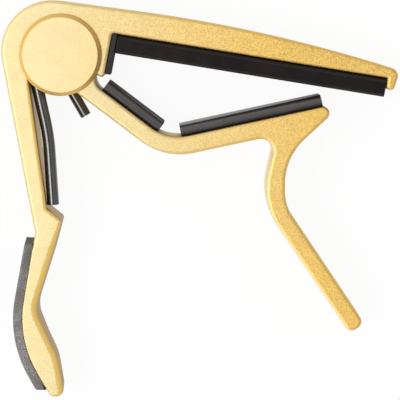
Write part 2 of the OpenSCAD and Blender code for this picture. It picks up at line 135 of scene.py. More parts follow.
# Glue under the pads and the grip, thickness and length of the lip's pad, then places and end gaps of the
# two neck pads
GLUE, EDGE_PAD_T, EDGE_PAD_LEN = 0.05, 1.15, 9.1
LONG_PAD_AT, LONG_PAD_END_GAP = 3.1, 5.2
SHORT_PAD_AT, SHORT_PAD_END_GAP = 12.0, 2.9
# Roundings of each pad along its foot and along its shoulder
STRING_PAD_R, EDGE_PAD_R, LONG_PAD_R, SHORT_PAD_R = (1.3, 0.7), (0.1, 0.2), (0.3, 1.9), (0.3, 1.7)
# Rounding of the pads' ends, and the most crown as a share of a pad's thickness
PAD_END_R, CROWN_SHARE = 0.12, 1 / 16

# Distances of the grip's ends from the notch and from the paddle's end
GRIP_TOP_GAP, GRIP_END_GAP = 2.5, 1.8
# Roundings of the grip's upper end, its lower end and its seat, and depth of the dark cut at its ends
GRIP_TOP_R, GRIP_END_R, GRIP_SEAT_R, GRIP_CUT = 0.3, 0.7, 0.15, 0.8
# Edge radius of the grip at its seat, and what the outer side and the seat's lower part add to it
GRIP_EDGE, GRIP_OUT_EDGE, GRIP_LOW_EDGE = 0.06, 0.34, 0.25

# Stretches, each as its start and its length
# Along the handle: the grip's seat, the part that the hand holds, the drafted walls; then below the jaw
UNDER_GRIP, HELD, DRAFTED, PADDLE_DRAFTED, BELOW_JAW = (0, 1.5), (4, 5), (0, 4), (0, 6), (0, 3)
# Down to the grip's lower part and up to its slanted part, from the pivot
GRIP_LOW, GRIP_SLANTED = (58, 10), (-58, 16)
# In the sideways share of a normal, for walls to the right and to the left, and the limit of the grip's side
RIGHT_SIDE, LEFT_SIDE, GRIP_SIDE = (0.1, 0.4), (0.2, 0.5), -0.5
# In the share of a normal square to the bow, for the grip's outer side
OUTER_SIDE = (-0.4, 1)
# In the lean of a normal, 0 on a face and 1 on an upright wall, for each mark that a finish reads; the marks
# for the right edges and walls place painted shade, and the one for the left edge a painted highlight
UPRIGHT, SLOPED, RIGHT_EDGE_SHADE, RIGHT_WALL_SHADE, LEFT_EDGE_HIGHLIGHT = (0.95, 0.05), (0.2, 0.5), (0.05, 0.25), (0.7, 0.3), (0.25, 0.4)
# In the share of a pad's height counted downwards, for its foot, where the rubber is painted darker as shade
# next to the casting
PAD_FOOT = (-0.3, 0.2)
# Distances of the drafted wall from hub and shelf, and reach of the handle's walls right of the paddle's end
DRAFT_FROM_HUB, DRAFT_FROM_SHELF, HANDLE_REACH = 9, 1, 1.5

# Stage, in metres: half side and drop of the floor, and its share of plain white
FLOOR_HALF, FLOOR_DROP, FLOOR_SHARE = 3.0, 0.0001, 0.93
# Light of the surroundings on the part
WORLD_LIGHT = 0.7
# Light tent: radius, rows, sides and degrees from its top to the first row
TENT_R, TENT_ROWS, TENT_SIDES, TENT_HOLE = 2.0, 24, 72, 1
# Brightness of its foot on the left and on the right, of its wall and of its opening
TENT_FOOT, TENT_WALL, TENT_OPENING = (2.0, 0.4), 0.85, 0.2
# Where these change: across the foot, up from the foot to the wall, and round the opening
TENT_ACROSS, TENT_UP, TENT_TOP = (-1.6, 1.2), (0.2, 1.3), (1.78, 1.94)
# Soft lamp: place, point that it faces, side and power
WINDOW_AT, WINDOW_FACES, WINDOW_SIDE, WINDOW_POWER = (-0.56, -0.1, 1.3), (0.02, -0.03, 0.0), 0.62, 7.6
# The photograph's camera: place and point that it faces, sensor and lens in millimetres, clipping distances
CAMERA_AT, CAMERA_FACES = (0.02521, 0.01002, 0.46826), (0.03077, -0.03221, 0.01325)
CAMERA_SENSOR, CAMERA_LENS, CAMERA_CLIP = 36.0, 185.1, (0.01, 20.0)


def length(name, description, millimetres):
    """A size that a user may change, kept in metres."""
    return FloatProperty(name=name, description=description, default=millimetres * MM, min=0.0,
                         precision=5, unit="LENGTH")


def colour(name, description, red, green, blue):
    """A colour that a user may change, in linear light."""
    return FloatVectorProperty(name=name, description=description, default=(red, green, blue), size=3,
                               min=0.0, max=1.0, subtype="COLOR")


class CAPO_PG_sizes(bpy.types.PropertyGroup):
    """Sizes of the capo's pieces."""

    edge_round: length("Casting edge", "Radius of the rounded edges of both castings", 0.78)
    grip_seat_edge: length("Grip seat edge", "Radius of the handle's edges beside the grip", 0.35)
    paddle_round: length("Paddle edge", "Radius of the paddle's edges on the hand's side", 1.45)
    draft: length("Draft", "Widening of the handle's inner wall from front to back", 0.24)
    paddle_draft: length("Paddle draft", "Narrowing of the paddle's inner wall from front to back", 0.45)
    bore_radius: length("Hub bore", "Radius of the upper body's bore", 8.42)
    root_radius: length("Jaw root", "Radius of the hollow at the root of the jaw's arm", 8.05)
    cheek_radius: length("Cheek", "Radius of the jaw's two round cheeks", 8.35)
    cheek_thickness: length("Cheek thickness", "Thickness of each cheek", 1.9)
    spigot_radius: length("Spigot", "Radius of the spigot on each cap", 4.0)
    cap_radius: length("Cap", "Radius of the round caps", 9.05)
    cap_bevel: length("Cap bevel", "Width of the bevel round the caps' faces", 0.8)
    pin_radius: length("Pin bore", "Radius of the pin's hole in each cap", 2.52)
    pin_skin: length("Cap skin", "Metal that a cap leaves over the pin's end", 0.6)
    long_sleeve_radius: length("Long sleeve", "Outer radius of the sleeve on the handle's leg", 1.36)
    short_sleeve_radius: length("Short sleeve", "Outer radius of the sleeve on the jaw's leg", 1.25)
    sleeve_clear: length("Sleeve clearance", "Clearance of the wire in its sleeves", 0.1)
    string_pad: length("String pad", "Thickness of the string pad", 4.3)
    edge_pad: length("Edge pad", "Thickness of the pad on the hub's lip", EDGE_PAD_T)
    neck_pad: length("Neck pads", "Thickness of the two neck pads", 2.6)
    pad_width: length("Pad width", "Width of the pads and the grip along the pivot", 12.3)
    pad_crown: length("Pad crown", "Height by which the pads swell in the middle", 0.15)
    grip: length("Grip", "Thickness of the foam grip at the bow", 2.1)
    grip_top: length("Grip top", "Thickness of the foam grip at its upper end, in front", 1.85)
    grip_slant: length("Grip slant", "Widening of the grip's upper end from front to back", 0.45)


class CAPO_PG_colours(bpy.types.PropertyGroup):
    """Colours of the capo's finishes."""

    # Painted light: the hub and handle are painted paler, where the lamp on the left lights them more, and
    # the gold deepens towards the arm's tip and the trigger
    gold_pale_painted_light: colour("Pale gold", "Gold of the hub and the handle", 0.80, 0.68, 0.385)
    gold_deep: colour("Deep gold", "Gold of the arm's tip and the trigger", 0.94, 0.635, 0.185)
    # Painted shade: darker gold over the rounded edges
    gold_edge_shade: colour("Edge gold", "Darker gold along the rounded edges", 0.74, 0.48, 0.14)
    # Painted shade: richer, deeper gold on the handle's edges that face right, away from the lamp
    gold_right_edge_shade: colour("Shadier gold", "Richer gold along the handle's inner edge", 0.98, 0.68, 0.2)
    # Painted shade: dark dull gold on the walls of handle and arm that face right, away from the lamp; the
    # casting is the same gold there
    gold_right_wall_shade: colour("Shaded gold", "Shadowed gold of the inner walls of handle and arm", 0.40, 0.28, 0.13)
    # Painted highlight: paler gold on the trigger's left edge, which faces the lamp
    gold_left_edge_highlight: colour("Highlit gold", "Paler gold of the trigger's left edge", 0.88, 0.70, 0.40)
    # Painted shade: darker gold on the castings' upright walls, which are the same gold as the faces
    gold_wall_shade: colour("Shadowed gold", "Darkened gold of the castings' upright walls", 0.56, 0.385, 0.16)
    rubber: colour("Rubber", "Black rubber of the pads", 0.011, 0.0085, 0.008)
    sleeve: colour("Sleeve", "Glossy black of the spring's sleeves", 0.008, 0.0065, 0.006)
    foam: colour("Foam", "Grey foam of the grip", 0.335, 0.318, 0.302)
    pore: colour("Pore", "Dark pores of the foam", 0.085, 0.08, 0.078)
    steel: colour("Steel", "Steel of the spring and the pin", 0.50, 0.50, 0.52)
    plastic: colour("Arbor", "Black plastic of the spring's arbor", 0.02, 0.02, 0.02)
    floor: colour("Floor", "White of the floor", 0.92, 0.92, 0.92)


# Shapes in the plane


def polar(radius, degrees):
    """The point at that radius and angle: radius * (cos, sin)."""
    angle = np.radians(np.asarray(degrees, float))
    return radius * np.stack([np.cos(angle), np.sin(angle)], axis=-1)


def unit(v):
    """The direction of v."""
    return v / np.linalg.norm(v)


def right_of(u):
    """A direction turned a quarter to the right."""
    return np.array([u[1], -u[0]])


def angle_of(p):
    """Angle of a point round the origin, in degrees."""
    return np.degrees(np.arctan2(p[1], p[0]))


def meet(p, a, q, b):
    """Where two lines meet, each given by a point and the angle of its direction:
    p + u * (q - p) x v / u x v, with u and v along the two lines."""
    u, v, gap = polar(1.0, a), polar(1.0, b), q - p
    return p + u * (gap[0] * v[1] - gap[1] * v[0]) / (u[0] * v[1] - u[1] * v[0])


def rise(value, start, over):
    """0 up to a start, then rising evenly to 1 over that distance."""
    return np.clip((value - start) / over, 0, 1)


def arc(before, at, after, radius, step=4.0, piece=1.5):
    """Rounded corner: the points at + turn * radius * (n - mitre), whose normal n turns evenly
    from the normal of the first side to that of the second."""
    n0, n1 = right_of(unit(at - before)), right_of(unit(after - at))
    cross, dot = n0[0] * n1[1] - n0[1] * n1[0], n0 @ n1
    sweep = np.degrees(np.arctan2(cross, dot))
    steps = int(max(2, np.ceil(abs(sweep) / step), np.ceil(radius * abs(np.radians(sweep)) / piece)))
    n = polar(1.0, angle_of(n0) + sweep * np.linspace(0, 1, steps + 1))
    mitre = (n0 + n1) / (1 + dot)
    return at + np.sign(sweep) * radius * (n - mitre), n


def joined(runs, closed=True, piece=1.0):
    """Runs of points and normals joined by straight stretches, each cut into equal pieces."""
    points, normals = [], []
    for k, (p, n) in enumerate(runs):
        points.append(p)
        normals.append(n)
        if closed or k < len(runs) - 1:
            gap = runs[(k + 1) % len(runs)][0][0] - p[-1]
            parts = int(max(1, np.ceil(np.linalg.norm(gap) / piece)))
            share = np.linspace(0, 1, parts + 1)[1:-1, None]
            points.append(p[-1] + share * gap)
            normals.append(np.repeat(n[-1:], parts - 1, axis=0))
    return np.concatenate(points), np.concatenate(normals)


def outline(corners, closed=True, piece=1.0):
    """A counterclockwise line with rounded corners [x, y, radius], as points and outward normals."""
    corners = np.asarray(corners, float)
    at, count = corners[:, :2], len(corners)
    inner = range(count) if closed else range(1, count - 1)
    runs = [arc(at[i - 1], at[i], at[(i + 1) % count], corners[i, 2]) for i in inner]
    if not closed:
        first = at[:1], right_of(unit(at[1] - at[0]))[None]
        last = at[-1:], right_of(unit(at[-1] - at[-2]))[None]
        runs = [first, *runs, last]
    return joined(runs, closed, piece)


def on_circle(p, q, radius):
    """Where the line from p to q crosses the circle of that radius round the pivot, between the two."""
    d = q - p
    a, b, c = d @ d, 2 * (p @ d), p @ p - radius ** 2
    roots = (-b + np.array([-1, 1]) * np.sqrt(b * b - 4 * a * c)) / (2 * a)
    return p + roots[(roots >= 0) & (roots <= 1)][0] * d


def hub_outline(corners, bore, piece):
    """A casting's outline that starts and ends on the bore round the pivot and is closed by its arc."""
    at = corners[:, :2]
    first, last = on_circle(at[0], at[1], bore), on_circle(at[-2], at[-1], bore)
    lead_in = arc(first - polar(1, angle_of(first) - 90), first, at[1], NICK_R, NICK_STEP)
    lead_out = arc(at[-2], last, last + polar(1, angle_of(last) - 90), NICK_R, NICK_STEP)
    from_angle, to_angle = angle_of(lead_out[0][-1]), angle_of(lead_in[0][0])
    sweep = (from_angle - to_angle) % 360
    angles = from_angle - sweep * np.linspace(0, 1, int(sweep / BORE_STEP) + 2)[1:-1]
    runs = [arc(at[i - 1], at[i], at[i + 1], corners[i, 2]) for i in range(1, len(at) - 1)]
    return joined([lead_in, *runs, lead_out, (polar(bore, angles), -polar(1, angles))], True, piece)


# Points of the upper body

HANDLE_FOOT = polar(HUB_BACK, -HANDLE_SLOPE - 90)
ARM_TOP_FOOT = polar(HUB_TOP, 90 - ARM_TOP_SLOPE)
HUB_CORNER = meet(HANDLE_FOOT, -HANDLE_SLOPE, ARM_TOP_FOOT, -ARM_TOP_SLOPE)
SEAT_CORNER = polar(SEAT_HEIGHT, 90 - SEAT_SLOPE) + polar(SEAT_START, -SEAT_SLOPE)
SEAT_END = SEAT_CORNER + polar(SEAT_LEN, -SEAT_SLOPE)
LIP_ANGLE = -SEAT_SLOPE - 90 - LIP_LEAN
LIP_END = SEAT_CORNER + polar(LIP_LEN, LIP_ANGLE)
TIP_LIP_IN = SEAT_END + polar(TIP_LIP_DROP, -SEAT_SLOPE - 90)
TIP_LIP_OUT = TIP_LIP_IN + polar(TIP_LIP_T, -SEAT_SLOPE)
TIP_TOP = SEAT_END + polar(TIP_LEN, -SEAT_SLOPE) + polar(TIP_DEPTH, 90 - SEAT_SLOPE)
CROWN = meet(ARM_TOP_FOOT, -ARM_TOP_SLOPE, TIP_TOP, -ARM_TIP_SLOPE)

# The handle's inner face lies against both ends of the long sleeve
FACE_TURN = np.radians(HANDLE_IN_SLOPE + LONG_SLOPE)
IN_FOOT = polar(COIL_R + LONG_OFF_FACE - LONG_BARE * np.sin(FACE_TURN), -HANDLE_IN_SLOPE - 90)
SHELF = IN_FOOT + polar(SHELF_AT, -HANDLE_IN_SLOPE)
BUMP = SHELF + polar(SHELF_LEN, -SHELF_SLOPE)
NOTCH = meet(HANDLE_FOOT, -HANDLE_SLOPE, SHELF - [0, NOTCH_DROP], 0)
PADDLE_OUT = SHELF + [PADDLE_END_SET, -PADDLE_LEN]
PADDLE_IN = PADDLE_OUT + [PADDLE_END_W, 0]
WAIST = np.array([SHELF[0] - WAIST_SET, PADDLE_OUT[1] + WAIST_RISE])
BOW = np.array([SHELF[0] - BOW_SET, PADDLE_OUT[1] + BOW_RISE])

# Corners [x, y, radius] from the pivot over the hub's lip, round the string arm and the handle
UPPER_CORNERS = np.array([
    [0, 0, 0], [*LIP_END, LIP_R], [*SEAT_CORNER, SEAT_R], [*SEAT_END, SEAT_END_R], [*TIP_LIP_IN, TIP_IN_R],
    [*TIP_LIP_OUT, TIP_OUT_R], [*TIP_TOP, TIP_TOP_R], [*CROWN, ARM_CROWN_R], [*HUB_CORNER, HUB_ROUND],
    [*NOTCH, NOTCH_R], [*BOW, BOW_R], [*PADDLE_OUT, PADDLE_END_R], [*PADDLE_IN, PADDLE_END_R],
    [*(PADDLE_IN + SWELL_BELOW), SWELL_R], [*WAIST, WAIST_R], [*(BUMP + SWELL_ABOVE), SWELL_R],
    [*BUMP, BUMP_R], [*SHELF, SHELF_R], [*IN_FOOT, 0]])

# Points of the lower jaw

ARM_FOOT = polar(-ARM_DROP, 90 - ARM_SLOPE)
ARM_LOW = polar(-ARM_DROP - ARM_T, 90 - ARM_SLOPE)
ELBOW = ARM_FOOT + polar(ARM_LEN, -ARM_SLOPE)
ELBOW_LOW = meet(ARM_LOW, -ARM_SLOPE, ELBOW - polar(JAW_T, 90 + JAW_RISE), JAW_RISE)
JAW_TIP = ELBOW + polar(JAW_LEN, JAW_RISE)
NECK_TOP = ELBOW_LOW + polar(TRIGGER_AT, JAW_RISE)
NECK_FOOT = NECK_TOP + polar(NECK_LEN, -90 - NECK_LEAN)
NECK_BACK = NECK_FOOT + [NECK_W, 0]
ACROSS_TRIGGER = polar(TRIGGER_T, 90 - TRIGGER_SLOPE)
TRIGGER_END = NECK_FOOT + polar(TRIGGER_LEN, -TRIGGER_SLOPE)
BACK_LOW = meet(NECK_BACK, 90, NECK_FOOT + ACROSS_TRIGGER, -TRIGGER_SLOPE)
BACK_HIGH = meet(JAW_TIP, 180 + JAW_BACK_SLOPE, NECK_BACK, 90)
ROOT = polar(ROOT_OUT, angle_of(LIP_END) - ROOT_TURN)
ROOT_FOOT = meet(ROOT, -ROOT_SLOPE, ARM_FOOT, -ARM_SLOPE)

# Corners [x, y, radius] from the arm's underside round the trigger to the arm's root and the pivot
JAW_CORNERS = np.array([
    [*ARM_LOW, 0], [*ELBOW_LOW, ELBOW_R + ARM_T], [*NECK_TOP, NECK_TOP_R], [*NECK_FOOT, NECK_FOOT_R],
    [*TRIGGER_END, TRIGGER_END_R], [*(TRIGGER_END + ACROSS_TRIGGER), TRIGGER_END_R], [*BACK_LOW, BACK_LOW_R],
    [*BACK_HIGH, BACK_HIGH_R], [*JAW_TIP, JAW_TIP_R], [*ELBOW, ELBOW_R], [*ROOT_FOOT, ROOT_FOOT_R],
    [*ROOT, 0], [0, 0, 0]])

# Spring: its coil turns from the handle's leg to the bend that touches both the coil and the jaw's leg

BEND_REACH = COIL_R + SHORT_BEND_R
BEND_ANGLE = 90 + SHORT_SLOPE - np.degrees(np.arccos((SHORT_BEND_R - SHORT_OFFSET) / BEND_REACH))
COIL_START = LONG_SLOPE - 90
COIL_SWEEP = COIL_START + 360 - BEND_ANGLE + 360 * COIL_TURNS
COIL_RISE = (2 * WIRE_R + COIL_GAP) * COIL_SWEEP / 360
LONG_Z, SHORT_Z = Z_MID + COIL_RISE / 2, Z_MID - COIL_RISE / 2
BEND_CENTRE = polar(BEND_REACH, BEND_ANGLE)
BEND_FROM, BEND_TO = BEND_ANGLE + 180, 270 + SHORT_SLOPE
SHORT_START = BEND_CENTRE + polar(SHORT_BEND_R, BEND_TO)
LONG_TANGENT = polar(COIL_R, COIL_START)
LONG_END = SHELF + polar(LONG_OFF_FACE, 90 - HANDLE_IN_SLOPE) + polar(LONG_END_GAP, 180 - HANDLE_IN_SLOPE)
LONG_BEND = meet(LONG_TANGENT, LONG_SLOPE, LONG_END, LONG_END_SLOPE)

# Seats of the pads: start point, direction and length
STRING_SEAT = (SEAT_END - polar(GLUE, -SEAT_SLOPE), 180 - SEAT_SLOPE, SEAT_LEN - EDGE_PAD_T - 3 * GLUE)
EDGE_SEAT = (SEAT_CORNER + polar(GLUE, LIP_ANGLE), LIP_ANGLE, EDGE_PAD_LEN - GLUE)
LONG_NECK_SEAT = (ELBOW + polar(LONG_PAD_AT, JAW_RISE), JAW_RISE, JAW_LEN - LONG_PAD_AT - LONG_PAD_END_GAP)
SHORT_NECK_SEAT = (ARM_FOOT + polar(SHORT_PAD_AT, -ARM_SLOPE), -ARM_SLOPE,
                   ARM_LEN - SHORT_PAD_AT - SHORT_PAD_END_GAP)
# Length of each side that the rounding inside the elbow takes
ELBOW_ARC = ELBOW_R * np.tan(np.radians(ARM_SLOPE + JAW_RISE) / 2)

# Ends of the grip on the handle's outer face
GRIP_FROM = NOTCH + GRIP_TOP_GAP * unit(BOW - NOTCH)
GRIP_TO = PADDLE_OUT + GRIP_END_GAP * unit(BOW - PADDLE_OUT)


# Surfaces, each as a grid of points and a grid of normals


def plate(line, low, high, edge, arc_rows=7, wall_rows=0, draft=0.0):
    """A plate over an outline with rounded edges: row k lies edge * (1 - cos a) inside the outline,
    at edge * (1 - sin a) from the face, with a from 90 degrees on the low face over 0 to 90 on the high one.
    A draft widens it evenly from the high face to the low one."""
    points, normals = line
    edge = np.broadcast_to(edge, len(points))
    turn = np.radians(np.linspace(0, 90, arc_rows))
    lean = np.concatenate([-turn[::-1], np.zeros(wall_rows), turn])[:, None]
    wall = np.linspace(0, 1, wall_rows + 2)[1:-1]
    share = np.concatenate([np.zeros(arc_rows), wall, np.ones(arc_rows)])[:, None]
    z = (low + edge) * (1 - share) + (high - edge) * share + edge * np.sin(lean)
    inset = edge * (1 - np.cos(lean))
    widened = draft * (high - z) / (high - low)
    xy = points + (widened - inset)[..., None] * normals
    side = np.cos(lean)[..., None] * normals
    up = np.broadcast_to(np.sin(lean), z.shape)
    return np.dstack([xy, z]), np.dstack([side, up])


def lathe(line, sides=128):
    """A profile of points (radius, height) turned round the pivot: (r cos t, r sin t, z)."""
    points, normals = line
    round_ = polar(1.0, np.arange(sides) * 360 / sides)
    turned = [np.dstack([p[:, None, :1] * round_, np.repeat(p[:, None, 1:], sides, axis=1)])
              for p in (points, normals)]
    return turned[0], turned[1]


def along(path, s):
    """Places and directions on a path at distances s from its start."""
    steps = np.linalg.norm(np.diff(path, axis=0), axis=1)
    at = np.concatenate([[0], np.cumsum(steps)])
    tangent = np.gradient(path, at, axis=0)
    pick = [np.stack([np.interp(s, at, q[:, k]) for k in range(3)], axis=1) for q in (path, tangent)]
    return pick[0], pick[1] / np.linalg.norm(pick[1], axis=1, keepdims=True)


def tube(path, profile, sides):
    """A profile of points (distance, radius) carried round a path that lies nearly level:
    place(s) + r * (cos t * side + sin t * over), where side and over are square to the path."""
    points, normals = profile
    centre, tangent = along(path, points[:, 0])
    side = np.cross(tangent, [0.0, 0.0, 1.0])
    side /= np.linalg.norm(side, axis=1, keepdims=True)
    over = np.cross(side, tangent)
    round_ = polar(1.0, np.arange(sides) * 360 / sides)
    out = round_[None, :, :1] * side[:, None] + round_[None, :, 1:] * over[:, None]
    surface = centre[:, None] + points[:, 1][:, None, None] * out
    return surface, normals[:, 0][:, None, None] * tangent[:, None] + normals[:, 1][:, None, None] * out


def at_level(plan, z):
    """Points in the plane set at a height."""
    return np.column_stack([plan, np.full(len(plan), z)])


def path_length(path):
    """Length of a path of points."""
    return float(np.linalg.norm(np.diff(path, axis=0), axis=1).sum())


# Meshes


def grid_faces(rows, columns, loop):
    """Quads of a grid whose rows are closed rings; with loop, the last row meets the first."""
    i, j = np.meshgrid(np.arange(rows if loop else rows - 1), np.arange(columns), indexing="ij")
    up, on = (i + 1) % rows, (j + 1) % columns
    return np.stack([i * columns + j, i * columns + on, up * columns + on, up * columns + j],
                    axis=-1).reshape(-1, 4)


def signed_volume(points, faces):
    """Volume inside faces of equal size, as a sum over fans of triangles."""
    p = points[faces]
    return float(np.einsum("fk,fnk->", p[:, 0], np.cross(p[:, 1:-1], p[:, 2:])) / 6)


def lean_of(normals):
    """How far normals lean from the pivot: 0 on faces square to it and 1 on walls along it."""
    return np.hypot(normals[..., 0], normals[..., 1])


def mark(made, key, values):
    """Keeps a number for each point of a piece, for its finish to read: 0 for points past the last value."""
    kept = np.zeros(len(made.data.vertices), np.float32)
    kept[:np.size(values)] = np.ravel(values)
    made.data.attributes.new(key, "FLOAT", "POINT").data.foreach_set("value", kept)


def piece(name, surfaces, material):
    """One mesh object of closed surfaces in millimetres: each is (points, normals, loop), and one without
    a loop is closed by a flat face at both ends. Faces are turned so that they point outwards. The attribute
    upright is 1 on walls that stand along the pivot, and slope rises to 1 over the rounded edges."""
    all_points, all_normals, faces, offset = [], [], [], 0
    for points, normals, loop in surfaces:
        rows, columns = points.shape[:2]
        flat = points.reshape(-1, 3)
        shell = [grid_faces(rows, columns, loop)]
        if not loop:
            first = np.arange(columns)[None, ::-1]
            shell += [first, (rows - 1) * columns + np.arange(columns)[None]]
        turn = 1 if sum(signed_volume(flat, f) for f in shell) > 0 else -1
        faces += [f for block in shell for f in (block[:, ::turn] + offset).tolist()]
        all_points.append(flat)
        all_normals.append(normals.reshape(-1, 3))
        offset += len(flat)
    mesh = bpy.data.meshes.new(name)
    mesh.from_pydata((np.concatenate(all_points) * MM).tolist(), [], faces)
    mesh.shade_smooth()
    normals = np.concatenate(all_normals)
    normals /= np.linalg.norm(normals, axis=1, keepdims=True)
    mesh.normals_split_custom_set_from_vertices(normals.tolist())
    mesh.materials.append(material)
    made = bpy.data.objects.new(name, mesh)
    bpy.context.scene.collection.objects.link(made)
    mark(made, "upright", rise(lean_of(normals), *UPRIGHT))
    mark(made, "slope", rise(lean_of(normals), *SLOPED))
    return made


def dress(made, body, slot, *nodes):
    """Hangs a finished piece on its body, in place of its CAD nodes. The slot of the record's finish is not
    used.
    """
    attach(made, body)
    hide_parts(*nodes)


# Finishes

FINISHES = {}


def connect(value, socket):
    """Links a socket to an input, or sets the input to a plain value."""
    if isinstance(value, bpy.types.NodeSocket):
        socket.id_data.links.new(value, socket)
    else:
        socket.default_value = value


def new_material(name):
    """A new node material, a helper that adds a node with its inputs, and one for its shader's inputs."""
    material = bpy.data.materials.new(name)
    material.use_nodes = True
    nodes = material.node_tree.nodes

    def add(kind, inputs=(), **settings):
        node = nodes.new(kind)
        for key, value in settings.items():
            setattr(node, key, value)
        for key, value in dict(inputs).items():
            connect(value, node.inputs[key])
        return node

    def put(inputs):
        for key, value in inputs.items():
            connect(value, nodes["Principled BSDF"].inputs[key])

    return material, add, put


def shade(tint, share):
    """A colour made darker or lighter."""
    return [c * share for c in tint]


def own_place(add):
    """Coordinates on the piece itself, in metres."""
    return add("ShaderNodeTexCoord").outputs["Object"]


def marked(add, key):
    """The number that mark() kept for each point, which is 0 on a piece without that mark."""
    return add("ShaderNodeAttribute", attribute_name=key).outputs["Fac"]


def mixed(add, factor, first, second):
    """Colour between two colours or sockets."""
    ends = [end if isinstance(end, bpy.types.NodeSocket) else (*end, 1.0) for end in (first, second)]
    return add("ShaderNodeMix", {0: factor, 6: ends[0], 7: ends[1]}, data_type="RGBA").outputs[2]


def between(add, factor, first, second):
    """Value between two values or sockets."""
    return add("ShaderNodeMix", {0: factor, 2: first, 3: second}, data_type="FLOAT").outputs[0]


def product(add, first, second):
    """Product of two values or sockets."""
    return add("ShaderNodeMath", {0: first, 1: second}, operation="MULTIPLY").outputs[0]


def ranged(add, value, low, high, to_low, to_high):
    """A value carried from one range to another and held at its ends."""
    return add("ShaderNodeMapRange", {"Value": value, "From Min": low, "From Max": high,
                                      "To Min": to_low, "To Max": to_high}).outputs[0]


def noise(add, place, scale, detail=2.0, roughness=0.5):
    """Noise on a piece's own coordinates, with features of about 1 / scale metres."""
    return add("ShaderNodeTexNoise", {"Vector": place, "Scale": scale, "Detail": detail,
                                      "Roughness": roughness}).outputs["Fac"]


def bump(add, height, strength, distance):
    """Normals of a surface whose height varies by a distance in metres."""
    return add("ShaderNodeBump", {"Height": height, "Strength": strength, "Distance": distance}).outputs[0]


def gold_finish(colours, name, grain, edging, pale):
    """Satin blasted gold with painted light: pale up to a distance along the arm, where the lamp on the left
    lights it more, then deep; painted shade over the rounded edges, on upright walls and on the marked right
    edges and walls, and a painted highlight on the marked left edge, with a fine grain in colour, gloss and
    height."""
    material, add, put = new_material(name)
    place, deep = own_place(add), colours.gold_deep
    fine = noise(add, place, scale=4600, roughness=0.6)
    broad = noise(add, place, scale=300, detail=3.0)
    x = add("ShaderNodeSeparateXYZ", {"Vector": place}).outputs["X"]
    # Painted light: pale gold up to a distance along the arm, where the lamp on the left lights it more, then
    # deep gold
    tint = mixed(add, ranged(add, x, pale, pale + 0.047, 0.0, 1.0), colours.gold_pale_painted_light, deep)
    coarse = product(add, ranged(add, fine, 0.35, 0.56, grain, 0.0), ranged(add, x, 0.0, 0.05, 0.6, 1.4))
    tint = mixed(add, coarse, tint, shade(deep, 0.45))
    tint = mixed(add, ranged(add, broad, 0.44, 0.68, 0.0, 0.12), tint, shade(deep, 0.6))
    # Painted shade: darker gold over the rounded edges, where the slope mark rises
    tint = mixed(add, product(add, marked(add, "slope"), edging), tint, colours.gold_edge_shade)
    # Painted shade on the handle's edges that face right, away from the lamp
    tint = mixed(add, marked(add, "rubbed"), tint, colours.gold_right_edge_shade)
    # Painted shade: the upright walls are painted darker than the faces
    tint = mixed(add, product(add, marked(add, "upright"), 0.65), tint, colours.gold_wall_shade)
    # Painted shade on the walls that face right, away from the lamp
    tint = mixed(add, marked(add, "worn"), tint, colours.gold_right_wall_shade)
    # Painted highlight on the trigger's left edge, which faces the lamp
    tint = mixed(add, marked(add, "polished"), tint, colours.gold_left_edge_highlight)
    put({"Base Color": tint, "Metallic": 1.0, "Roughness": ranged(add, fine, 0.25, 0.75, 0.44, 0.58),
         "Normal": bump(add, fine, strength=0.25, distance=0.00006)})
    return material


def rubber_finish(colours, name, bloom, shine, foot_shine, rough, side):
    """Moulded black rubber: a skin with cloudy blotches and fine pits, of its own shine and roughness; its
    base is painted lighter by a factor, standing in for the light that a pad's rounded front catches. Sides
    that stand along the pivot have another roughness, and the foot gets painted shade: plain dark rubber
    without blotches or lift, and another shine."""
    material, add, put = new_material(name)
    place, black = own_place(add), shade(colours.rubber, bloom)
    fine = noise(add, place, scale=4200, detail=3.0, roughness=0.6)
    broad = noise(add, place, scale=260, detail=3.0)
    foot = marked(add, "foot")
    lifted_and_clouded = mixed(add, ranged(add, broad, 0.4, 0.8, 0.0, 0.5), black, shade(black, 2.2))
    pitted = ranged(add, fine, 0.3, 0.7, rough, rough + 0.15)
    # Painted shade at the foot, next to the casting: plain dark rubber there
    put({"Base Color": mixed(add, foot, lifted_and_clouded, colours.rubber),
         "Roughness": between(add, marked(add, "upright"), pitted, side),
         "Specular IOR Level": ranged(add, foot, 0.0, 1.0, shine, foot_shine),
         "Normal": bump(add, fine, strength=0.2, distance=0.00005)})
    return material


def sleeve_finish(colours):
    """Glossy black tube: smooth, with slow waves in its gloss."""
    material, add, put = new_material("glossy_black_tube")
    wave, black = noise(add, own_place(add), scale=420), colours.sleeve
    put({"Base Color": mixed(add, ranged(add, wave, 0.4, 0.75, 0.0, 0.35), black, shade(black, 2.5)),
         "Roughness": ranged(add, wave, 0.3, 0.7, 0.24, 0.36),
         "Coat Weight": 1.0, "Coat Roughness": 0.2, "Coat IOR": 1.7,
         "Normal": bump(add, wave, strength=0.1, distance=0.0001)})
    return material


def foam_finish(colours):
    """Closed-cell grey foam: dark pores of two sizes, darker where the strip was cut."""
    material, add, put = new_material("grey_foam")
    place, foam, pore = own_place(add), colours.foam, colours.pore
    pores = add("ShaderNodeTexVoronoi", {"Vector": place, "Scale": 2200.0}).outputs["Distance"]
    fine = noise(add, place, scale=2600, roughness=0.6)
    broad = noise(add, place, scale=190)
    tint = mixed(add, ranged(add, fine, 0.42, 0.58, 0.6, 0.0), foam, pore)
    tint = mixed(add, ranged(add, pores, 0.05, 0.35, 0.8, 0.0), tint, pore)
    tint = mixed(add, ranged(add, broad, 0.43, 0.57, 0.0, 0.6), tint, shade(foam, 0.45))
    put({"Base Color": mixed(add, product(add, marked(add, "cut_end"), 0.8), tint, pore),
         "Roughness": 0.9, "Specular IOR Level": 0.25,
         "Normal": bump(add, fine, strength=0.7, distance=0.00015)})
    return material


